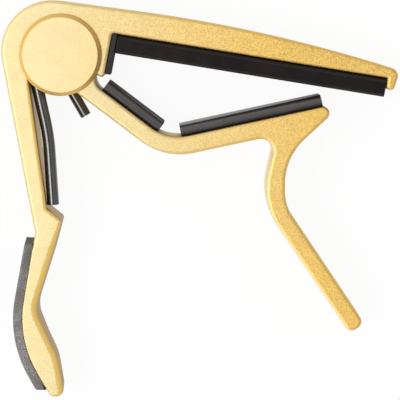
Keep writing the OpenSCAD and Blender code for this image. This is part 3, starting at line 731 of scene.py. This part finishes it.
def steel_finish(colours):
    """Drawn steel: a fine grain in the gloss and a light tarnish."""
    material, add, put = new_material("drawn_steel")
    place, steel = own_place(add), colours.steel
    fine = noise(add, place, scale=2600, detail=3.0, roughness=0.6)
    tarnish = noise(add, place, scale=240, detail=3.0)
    put({"Base Color": mixed(add, ranged(add, tarnish, 0.4, 0.8, 0.0, 0.45), steel, shade(steel, 0.55)),
         "Roughness": ranged(add, fine, 0.3, 0.7, 0.24, 0.42), "Metallic": 1.0})
    return material


def arbor_finish(colours):
    """Matte black moulded plastic with a fine grain."""
    material, add, put = new_material("matte_black_arbor")
    fine, black = noise(add, own_place(add), scale=3000, detail=3.0), colours.plastic
    put({"Base Color": mixed(add, ranged(add, fine, 0.4, 0.7, 0.0, 0.4), black, shade(black, 1.8)),
         "Roughness": ranged(add, fine, 0.3, 0.7, 0.5, 0.65)})
    return material


def seen_directly(nodes):
    """1 for rays of the camera, of reflections and of clear things, and 0 for the light itself."""
    rays = nodes.new("ShaderNodeLightPath").outputs
    value = rays["Is Camera Ray"]
    for name in ("Is Glossy Ray", "Is Transmission Ray"):
        either = nodes.new("ShaderNodeMath")
        either.operation = "MAXIMUM"
        connect(value, either.inputs[0])
        connect(rays[name], either.inputs[1])
        value = either.outputs[0]
    return value


def floor_finish(colours):
    """White paper floor: lit white paper for the light, nearly plain white for the camera and reflections."""
    material, add, put = new_material("paper_floor")
    nodes = material.node_tree.nodes
    put({"Base Color": (*colours.floor, 1.0), "Roughness": 0.9, "Specular IOR Level": 0.1})
    glow = add("ShaderNodeEmission", {"Color": (1.0, 1.0, 1.0, 1.0), "Strength": 1.0})
    share = product(add, seen_directly(nodes), FLOOR_SHARE)
    blend = add("ShaderNodeMixShader", {0: share, 1: nodes["Principled BSDF"].outputs[0], 2: glow.outputs[0]})
    connect(blend.outputs[0], nodes["Material Output"].inputs["Surface"])
    return material


# Operators


def settings(context):
    """The sizes in millimetres, by name, and the colours."""
    sizes = context.scene.capo_sizes
    return {key: getattr(sizes, key) / MM for key in sizes.__annotations__}, context.scene.capo_colours


def finish(make, colours, **options):
    """A finish made on its first use and shared by the pieces that have it."""
    key = (make.__name__, *options.values())
    if key not in FINISHES:
        FINISHES[key] = make(colours, **options)
    return FINISHES[key]


def hub_edge(line, bore, edge):
    """Edge radius along a casting's outline: full outside the hub, and next to none at the bore, with the
    smooth step s^2 * (3 - 2 * s) between them."""
    share = rise(np.linalg.norm(line[0], axis=1), bore, HUB_FADE)
    return BORE_EDGE + (edge - BORE_EDGE) * share ** 2 * (3 - 2 * share)


class CAPO_OT_upper_body(bpy.types.Operator):
    """Upper body: hub wall, string arm and handle as one plate with rounded edges."""

    bl_idname = "capo.upper_body"
    bl_label = "Upper body"

    def execute(self, context):
        size, colours = settings(context)
        line = hub_outline(UPPER_CORNERS, size["bore_radius"], piece=1.0)
        (x, y), outward = line[0].T, line[1][:, 0]
        under_grip = rise(np.minimum(GRIP_FROM[1] - y, y - GRIP_TO[1]), *UNDER_GRIP) * (outward < GRIP_SIDE)
        inner = rise(outward, *RIGHT_SIDE) * (x < PADDLE_IN[0] + HANDLE_REACH)
        edge = hub_edge(line, size["bore_radius"], size["edge_round"])
        edge = edge - np.maximum(edge - size["grip_seat_edge"], 0) * under_grip
        edge = edge + np.maximum(size["paddle_round"] - edge, 0) * rise(SHELF[1] - y, *HELD) * inner
        beside_sleeve = np.minimum(IN_FOOT[1] - y - DRAFT_FROM_HUB, y - SHELF[1] - DRAFT_FROM_SHELF)
        draft = size["draft"] * rise(beside_sleeve, *DRAFTED) * inner
        draft = draft - size["paddle_draft"] * rise(WAIST[1] - y, *PADDLE_DRAFTED) * inner
        shape = plate(line, Z_FACE, Z_TOP, edge, draft=draft)
        gold = finish(gold_finish, colours, name="satin_gold_body", grain=0.55, edging=0.35, pale=-0.002)
        made = piece("upper_casting", [(*shape, False)], gold)
        lean = lean_of(shape[1])
        # Painted shade: deeper gold on the handle's rounded edges that face right, away from the lamp
        mark(made, "rubbed", rise(lean, *RIGHT_EDGE_SHADE) * inner)
        # Painted shade: dark dull gold on the handle's walls that face right, away from the lamp
        mark(made, "worn", rise(lean, *RIGHT_WALL_SHADE) * inner)
        dress(made, "upper", "gold_casting", "upper_body")
        return {"FINISHED"}


class CAPO_OT_lower_jaw(bpy.types.Operator):
    """Lower jaw: arm, jaw and trigger as one plate with a groove for the spring, and two round cheeks."""

    bl_idname = "capo.lower_jaw"
    bl_label = "Lower jaw"

    def grooved(self, shape, radius):
        """The arm's wall pushed out of the cylinder of that radius round the jaw's leg: where the wall's
        distance from the leg is less than c = sqrt(radius^2 - dz^2), it moves square to the leg up to c."""
        points, normals = shape
        side = polar(1.0, SHORT_SLOPE + 90)
        ahead = (points[..., :2] - SHORT_START) @ polar(1.0, SHORT_SLOPE)
        away = (points[..., :2] - SHORT_START) @ side
        dz = points[..., 2] - SHORT_Z
        reach = np.sqrt(np.maximum(radius ** 2 - dz ** 2, 0))
        pushed = (reach > away) & (ahead > -SHORT_BEND_R) & (ahead < SHORT_LEN) & (away > -radius)
        move = np.where(pushed, reach - away, 0.0)
        points = points + np.dstack([move[..., None] * side, np.zeros_like(move)])
        inward = -np.dstack([reach[..., None] * side, dz]) / radius
        return points, np.where(pushed[..., None], inward, normals)

    def execute(self, context):
        size, colours = settings(context)
        line = hub_outline(JAW_CORNERS, size["root_radius"], piece=0.5)
        edge = hub_edge(line, size["root_radius"], size["edge_round"])
        shape = plate(line, Z_FACE, Z_TOP, edge, wall_rows=36)
        arm = self.grooved(shape, size["short_sleeve_radius"] + size["sleeve_clear"])
        inner, outer = size["spigot_radius"] + SEAT_CLEAR, size["cheek_radius"]
        thick = size["cheek_thickness"]
        cheeks = [lathe(outline([[inner, z, TURNED_IN_R], [outer, z, TURNED_RIM_R],
                                 [outer, z + thick, TURNED_RIM_R], [inner, z + thick, TURNED_IN_R]]))
                  for z in (Z_CHEEK, Z_CHEEK_TOP - thick)]
        gold = finish(gold_finish, colours, name="satin_gold_jaw", grain=0.38, edging=0.35, pale=0.01)
        made = piece("jaw_casting", [(*arm, False)] + [(*cheek, True) for cheek in cheeks], gold)
        (x, y), outward = line[0].T, line[1][:, 0]
        lean = lean_of(shape[1])
        trigger = rise(-outward, *LEFT_SIDE) * rise(NECK_TOP[1] - y, *BELOW_JAW)
        # Painted shade: dark dull gold on the arm's walls that face right, away from the lamp
        mark(made, "worn", rise(lean, *RIGHT_WALL_SHADE) * rise(outward, *RIGHT_SIDE) * (x < ELBOW[0]))
        # Painted highlight: paler gold on the trigger's edge and wall that face left, towards the lamp
        mark(made, "polished", rise(lean, *LEFT_EDGE_HIGHLIGHT) * trigger)
        dress(made, "jaw", "gold_casting", "lower_jaw")
        return {"FINISHED"}


class CAPO_OT_caps(bpy.types.Operator):
    """Caps: two turned discs with a bevelled rim, a spigot and a blind hole for the pin."""

    bl_idname = "capo.caps"
    bl_label = "Hub caps"

    def execute(self, context):
        size, colours = settings(context)
        rim, spigot, hole = size["cap_radius"], size["spigot_radius"], size["pin_radius"]
        skin, under, tip = size["pin_skin"], Z_CHEEK, Z_CHEEK + size["cheek_thickness"] - SEAT_CLEAR
        face = rim - size["cap_bevel"]
        profile = [[CAP_CORE, 0, 0], [face, 0, TURNED_FACE_R], [rim, CAP_BEVEL_H, TURNED_RIM_R],
                   [rim, under, TURNED_FOOT_R], [spigot, under, TURNED_IN_R], [spigot, tip, TURNED_FACE_R],
                   [hole, tip, TURNED_IN_R], [hole, skin, TURNED_IN_R], [CAP_CORE, skin, 0]]
        points, normals = lathe(outline(profile, closed=False, piece=2.0))
        flip = np.array([1.0, 1.0, -1.0])
        # The caps' edges get much more painted edge shade, standing in for the dark ring of shade round each
        # cap
        gold = finish(gold_finish, colours, name="satin_gold_cap", grain=0.4, edging=0.9, pale=-0.002)
        rear = piece("rear_disc", [(points, normals, False)], gold)
        dress(rear, "jaw", "gold_cap", "rear_cap")
        front = piece("front_disc", [(points * flip + [0, 0, Z_END], normals * flip, False)], gold)
        dress(front, "jaw", "gold_cap", "front_cap")
        return {"FINISHED"}


class CAPO_OT_spring(bpy.types.Operator):
    """Spring: one wound wire with two legs, and the black sleeves on the legs."""

    bl_idname = "capo.spring"
    bl_label = "Spring and sleeves"

    def long_leg(self):
        """The handle's leg from the coil to its end, with its slow bend."""
        bend = arc(LONG_TANGENT, LONG_BEND, LONG_END, LONG_BEND_R, step=2.0, piece=1.0)
        first, last = (LONG_TANGENT[None], bend[1][:1]), (LONG_END[None], bend[1][-1:])
        return at_level(joined([first, bend, last], closed=False)[0], LONG_Z)

    def short_leg(self):
        """The jaw's leg from its bend to its end."""
        plan = SHORT_START + np.linspace(0, SHORT_LEN, LEG_STEPS)[:, None] * polar(1.0, SHORT_SLOPE)
        return at_level(plan, SHORT_Z)

    def execute(self, context):
        size, colours = settings(context)
        bore = WIRE_R + size["sleeve_clear"]
        share = np.linspace(0, 1, COIL_STEPS)[1:-1]
        coil = np.column_stack([polar(COIL_R, COIL_START - COIL_SWEEP * share),
                                LONG_Z + (SHORT_Z - LONG_Z) * share])
        turn = np.linspace(BEND_FROM, BEND_TO, BEND_STEPS)[:-1]
        bend = at_level(BEND_CENTRE + polar(SHORT_BEND_R, turn), SHORT_Z)
        long_leg, short_leg = self.long_leg(), self.short_leg()
        path = np.concatenate([long_leg[::-1], coil, bend, short_leg])
        steel = finish(steel_finish, colours)
        total = path_length(path)
        profile = [[0, WIRE_FLAT, 0], [0, WIRE_R, WIRE_END_R],
                   [total, WIRE_R, WIRE_END_R], [total, WIRE_FLAT, 0]]
        points, normals = outline(profile, closed=False, piece=0.5)
        spring = piece("wound_spring", [(*tube(path, (points, -normals), sides=16), False)], steel)
        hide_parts("torsion_spring")
        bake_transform(spring)
        black = finish(sleeve_finish, colours)
        for name, node, carrier, leg, bare in (
                ("long_sleeve", "long_spring_sleeve", "upper", long_leg, LONG_BARE),
                ("short_sleeve", "short_spring_sleeve", "jaw", short_leg, SHORT_BARE)):
            radius = size[f"{name}_radius"]
            beyond = leg[-1] + SLEEVE_OVER * unit(leg[-1] - leg[-2])
            cover = np.concatenate([leg, beyond[None]])
            far = path_length(cover)
            wall = outline([[bare, bore, SLEEVE_IN_R], [far, bore, SLEEVE_IN_R],
                            [far, radius, SLEEVE_OUT_R], [bare, radius, SLEEVE_OUT_R]])
            dress(piece(name, [(*tube(cover, wall, sides=32), True)], black), carrier, "sleeve_plastic", node)
        return {"FINISHED"}


class CAPO_OT_pads(bpy.types.Operator):
    """Pads: rubber bars with rounded long edges and a slight crown, glued to their seats."""

    bl_idname = "capo.pads"
    bl_label = "Rubber pads"

    def pad(self, name, seat, thickness, rounds, from_elbow, size, rubber):
        """A bar of the section's outline run along its seat: h over the seat, w along the pivot, s along the
        seat. Its middle swells by crown * (1 - (2 w / width)^2), and its foot follows the elbow's arc."""
        (x, y), direction, long = seat
        foot, shoulder = rounds
        width, crown = size["pad_width"], min(size["pad_crown"], thickness * CROWN_SHARE)
        top = thickness + GLUE - crown
        section = outline([[GLUE, width / 2, foot], [GLUE, -width / 2, foot],
                           [top, -width / 2, shoulder], [top, width / 2, shoulder]], piece=0.8)
        points, normals = plate(section, 0, long, PAD_END_R, arc_rows=5, wall_rows=int(long))
        h, w, s = np.moveaxis(points, -1, 0)
        up_share = (h - GLUE) / top
        swell = crown * (1 - (2 * w / width) ** 2) * up_share
        slope = crown * 8 * w / width ** 2 * up_share
        near = np.clip(ELBOW_ARC - from_elbow(s), 0, None)
        lift = near ** 2 / (2 * ELBOW_R) * (1 - up_share)
        h = h + swell + lift
        normals = np.dstack([normals[..., 0], normals[..., 1] + normals[..., 0] * slope, normals[..., 2]])
        run, up = polar(1.0, direction), polar(1.0, direction + 90)
        placed = np.dstack([np.array([x, y]) + h[..., None] * up + s[..., None] * run, Z_MID + w])
        turned = np.dstack([normals[..., :1] * up + normals[..., 2:] * run, normals[..., 1]])
        made = piece(name, [(placed, turned, False)], rubber)
        # Painted shade: the foot next to the casting is marked for darker rubber
        mark(made, "foot", rise(-up_share, *PAD_FOOT))
        return made

    def execute(self, context):
        size, colours = settings(context)
        # Neck pads: a lift above 1 paints their rubber lighter, standing in for the light that their rounded
        # fronts catch, and a foot shine of 0 takes the shine off their feet as painted shade
        dull = finish(rubber_finish, colours, name="dull_black_rubber", bloom=1.0, shine=0.23,
                      foot_shine=0.23, rough=0.14, side=0.8)
        thin = finish(rubber_finish, colours, name="thin_black_rubber", bloom=1.0, shine=0.35,
                      foot_shine=0.35, rough=0.4, side=0.9)
        satin = finish(rubber_finish, colours, name="satin_black_rubber", bloom=3.0, shine=1.0,
                       foot_shine=0.0, rough=0.26, side=0.95)
        shiny = finish(rubber_finish, colours, name="shiny_black_rubber", bloom=2.6, shine=1.0,
                       foot_shine=0.0, rough=0.2, side=0.4)

        def clear_of_elbow(s):
            return np.full_like(s, ELBOW_ARC)

        def along_jaw(s):
            return LONG_PAD_AT + s

        def along_arm(s):
            return ARM_LEN - SHORT_PAD_AT - s

        for name, node, body, seat, thick, rounds, from_elbow, rubber in (
                ("string_bar", "string_pad", "upper", STRING_SEAT,
                 "string_pad", STRING_PAD_R, clear_of_elbow, dull),
                ("lip_bar", "edge_pad", "upper", EDGE_SEAT,
                 "edge_pad", EDGE_PAD_R, clear_of_elbow, thin),
                ("jaw_bar", "long_neck_pad", "jaw", LONG_NECK_SEAT,
                 "neck_pad", LONG_PAD_R, along_jaw, shiny),
                ("arm_bar", "short_neck_pad", "jaw", SHORT_NECK_SEAT,
                 "neck_pad", SHORT_PAD_R, along_arm, satin)):
            made = self.pad(name, seat, size[thick], rounds, from_elbow, size, rubber)
            dress(made, body, "pad_rubber", node)
        return {"FINISHED"}


class CAPO_OT_grip(bpy.types.Operator):
    """Grip: a foam strip bent round the bow of the handle."""

    bl_idname = "capo.grip"
    bl_label = "Foam grip"

    def level(self, at, run, far):
        """The point over the handle's face that is level with a point on it: at + far * n + t * run, where
        n is square to the run and t takes the rise of far * n away."""
        n = right_of(run)
        return at + far * n - far * n[1] / run[1] * run

    def execute(self, context):
        size, colours = settings(context)
        near, far = GLUE, GLUE + size["grip"]
        down, on = unit(BOW - GRIP_FROM), unit(GRIP_TO - BOW)
        mitre = (right_of(down) + right_of(on)) / (1 + down @ on)
        top, end = self.level(GRIP_FROM, down, near + size["grip_top"]), self.level(GRIP_TO, on, far)
        corners = [[*top, GRIP_TOP_R], [*(BOW + far * mitre), BOW_R + far], [*end, GRIP_END_R],
                   [*(GRIP_TO + near * right_of(on)), GRIP_SEAT_R], [*(BOW + near * mitre), BOW_R + near],
                   [*(GRIP_FROM + near * right_of(down)), GRIP_SEAT_R]]
        half = size["pad_width"] / 2
        line = outline(corners)
        y, out = line[0][:, 1], rise(line[1] @ unit(mitre), *OUTER_SIDE)
        edge = GRIP_EDGE + GRIP_OUT_EDGE * out + GRIP_LOW_EDGE * rise(-y, *GRIP_LOW) * (1 - out)
        slant = size["grip_slant"] * rise(y, *GRIP_SLANTED) * out
        points, normals = plate(line, Z_MID - half, Z_MID + half, edge, arc_rows=5, wall_rows=8, draft=slant)
        foam = finish(foam_finish, colours)
        made = piece("foam_strip", [(points, normals, False)], foam)
        from_top, from_end = (points[..., :2] - GRIP_FROM) @ down, (GRIP_TO - points[..., :2]) @ on
        mark(made, "cut_end", 1 - rise(np.minimum(from_top, from_end), 0, GRIP_CUT))
        dress(made, "upper", "grip_foam", "handle_grip")
        return {"FINISHED"}


class CAPO_OT_pivot(bpy.types.Operator):
    """Pivot: finishes of the steel pin and of the plastic arbor, which keep their CAD shapes."""

    bl_idname = "capo.pivot"
    bl_label = "Pin and arbor"

    def execute(self, context):
        colours = context.scene.capo_colours
        steel = finish(steel_finish, colours)
        plastic = finish(arbor_finish, colours)
        for node, material in (("pivot_pin", steel), ("spring_arbor", plastic)):
            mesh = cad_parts[node].data
            mesh.materials.clear()
            mesh.materials.append(material)
        return {"FINISHED"}


class CAPO_OT_stage(bpy.types.Operator):
    """Stage: white floor, light tent, pale surroundings, one soft lamp and the photograph's camera."""

    bl_idname = "capo.stage"
    bl_label = "Stage"

    def show(self, name, data):
        """A new object in the scene."""
        made = bpy.data.objects.new(name, data)
        bpy.context.scene.collection.objects.link(made)
        return made

    def floor(self, colours):
        """A square of white paper just under the part."""
        mesh = bpy.data.meshes.new("floor")
        square = ((-1, -1), (1, -1), (1, 1), (-1, 1))
        corners = [(x * FLOOR_HALF, y * FLOOR_HALF, -FLOOR_DROP) for x, y in square]
        mesh.from_pydata(corners, [], [(0, 1, 2, 3)])
        mesh.materials.append(floor_finish(colours))
        floor = self.show("floor", mesh)

    def tent(self):
        """A light tent that only reflections see: a dome of points r * (sin a cos t, sin a sin t, cos a),
        open round the camera, with its foot bright on the left and dark on the right."""
        turn, fall = np.meshgrid(np.arange(TENT_SIDES) * 2 * np.pi / TENT_SIDES,
                                 np.radians(np.linspace(TENT_HOLE, 90, TENT_ROWS)))
        points = TENT_R * np.dstack([np.sin(fall) * np.cos(turn), np.sin(fall) * np.sin(turn), np.cos(fall)])
        mesh = bpy.data.meshes.new("tent")
        faces = grid_faces(TENT_ROWS, TENT_SIDES, loop=False)
        mesh.from_pydata(points.reshape(-1, 3).tolist(), [], faces.tolist())
        material, add, _ = new_material("tent_cloth")
        place = add("ShaderNodeSeparateXYZ", {"Vector": own_place(add)}).outputs
        foot = ranged(add, place["X"], *TENT_ACROSS, *TENT_FOOT)
        wall = between(add, ranged(add, place["Z"], *TENT_UP, 0.0, 1.0), foot, TENT_WALL)
        opening = ranged(add, place["Z"], *TENT_TOP, 1.0, TENT_OPENING)
        glow = add("ShaderNodeEmission", {"Strength": product(add, wall, opening)})
        connect(glow.outputs[0], material.node_tree.nodes["Material Output"].inputs["Surface"])
        mesh.materials.append(material)
        tent = self.show("tent", mesh)
        tent.visible_camera = tent.visible_diffuse = tent.visible_shadow = False

    def surroundings(self, scene):
        """A white world that lights the part less than it shows."""
        scene.world = bpy.data.worlds.new("studio")
        scene.world.use_nodes = True
        nodes = scene.world.node_tree.nodes
        level = nodes.new("ShaderNodeMapRange")
        connect(seen_directly(nodes), level.inputs["Value"])
        connect(WORLD_LIGHT, level.inputs["To Min"])
        connect(1.0, level.inputs["To Max"])
        connect((1.0, 1.0, 1.0, 1.0), nodes["Background"].inputs["Color"])
        connect(level.outputs[0], nodes["Background"].inputs["Strength"])

    def window(self):
        """A soft square lamp at the left."""
        light = bpy.data.lights.new("left_window", "AREA")
        light.shape = "RECTANGLE"
        light.size = light.size_y = WINDOW_SIDE
        light.energy = WINDOW_POWER
        lamp = self.show("left_window", light)
        lamp.location = WINDOW_AT
        lamp.rotation_euler = (Vector(WINDOW_FACES) - lamp.location).to_track_quat("-Z", "Y").to_euler()

    def camera(self, scene):
        """The photograph's camera, with +Y upwards in its picture."""
        camera = self.show("photo_camera", bpy.data.cameras.new("photo_camera"))
        camera.data.sensor_width, camera.data.lens = CAMERA_SENSOR, CAMERA_LENS
        camera.data.clip_start, camera.data.clip_end = CAMERA_CLIP
        place = Vector(CAMERA_AT)
        ahead = (Vector(CAMERA_FACES) - place).normalized()
        right = ahead.cross(Vector((0, 1, 0))).normalized()
        turn = Matrix((right, right.cross(ahead), -ahead)).transposed()
        camera.matrix_world = Matrix.Translation(place) @ turn.to_4x4()
        scene.camera = camera

    def execute(self, context):
        context.scene.view_settings.view_transform = "Standard"
        self.floor(context.scene.capo_colours)
        self.surroundings(context.scene)
        self.tent()
        self.window()
        self.camera(context.scene)
        return {"FINISHED"}


class CAPO_PT_panel(bpy.types.Panel):
    """The capo's pieces, sizes and colours in the sidebar."""

    bl_idname = "CAPO_PT_panel"
    bl_label = "Guitar capo"
    bl_space_type = "VIEW_3D"
    bl_region_type = "UI"
    bl_category = "Capo"

    def draw(self, context):
        for operator in OPERATORS:
            self.layout.operator(operator.bl_idname)
        for group in (context.scene.capo_sizes, context.scene.capo_colours):
            column = self.layout.column(align=True)
            for key in group.__annotations__:
                column.prop(group, key)


OPERATORS = (CAPO_OT_upper_body, CAPO_OT_lower_jaw, CAPO_OT_caps, CAPO_OT_spring, CAPO_OT_pads,
             CAPO_OT_grip, CAPO_OT_pivot, CAPO_OT_stage)
CLASSES = (CAPO_PG_sizes, CAPO_PG_colours, *OPERATORS, CAPO_PT_panel)


def register():
    """Adds the capo's classes and its settings on the scene."""
    for cls in CLASSES:
        bpy.utils.register_class(cls)
    bpy.types.Scene.capo_sizes = PointerProperty(type=CAPO_PG_sizes)
    bpy.types.Scene.capo_colours = PointerProperty(type=CAPO_PG_colours)


def unregister():
    """Takes the settings and the classes away again."""
    del bpy.types.Scene.capo_colours
    del bpy.types.Scene.capo_sizes
    for cls in reversed(CLASSES):
        bpy.utils.unregister_class(cls)


def main():
    """Builds every piece in order."""
    register()
    bpy.ops.capo.upper_body()
    bpy.ops.capo.lower_jaw()
    bpy.ops.capo.caps()
    bpy.ops.capo.spring()
    bpy.ops.capo.pads()
    bpy.ops.capo.grip()
    bpy.ops.capo.pivot()
    bpy.ops.capo.stage()


if __name__ == "__main__":
    main()
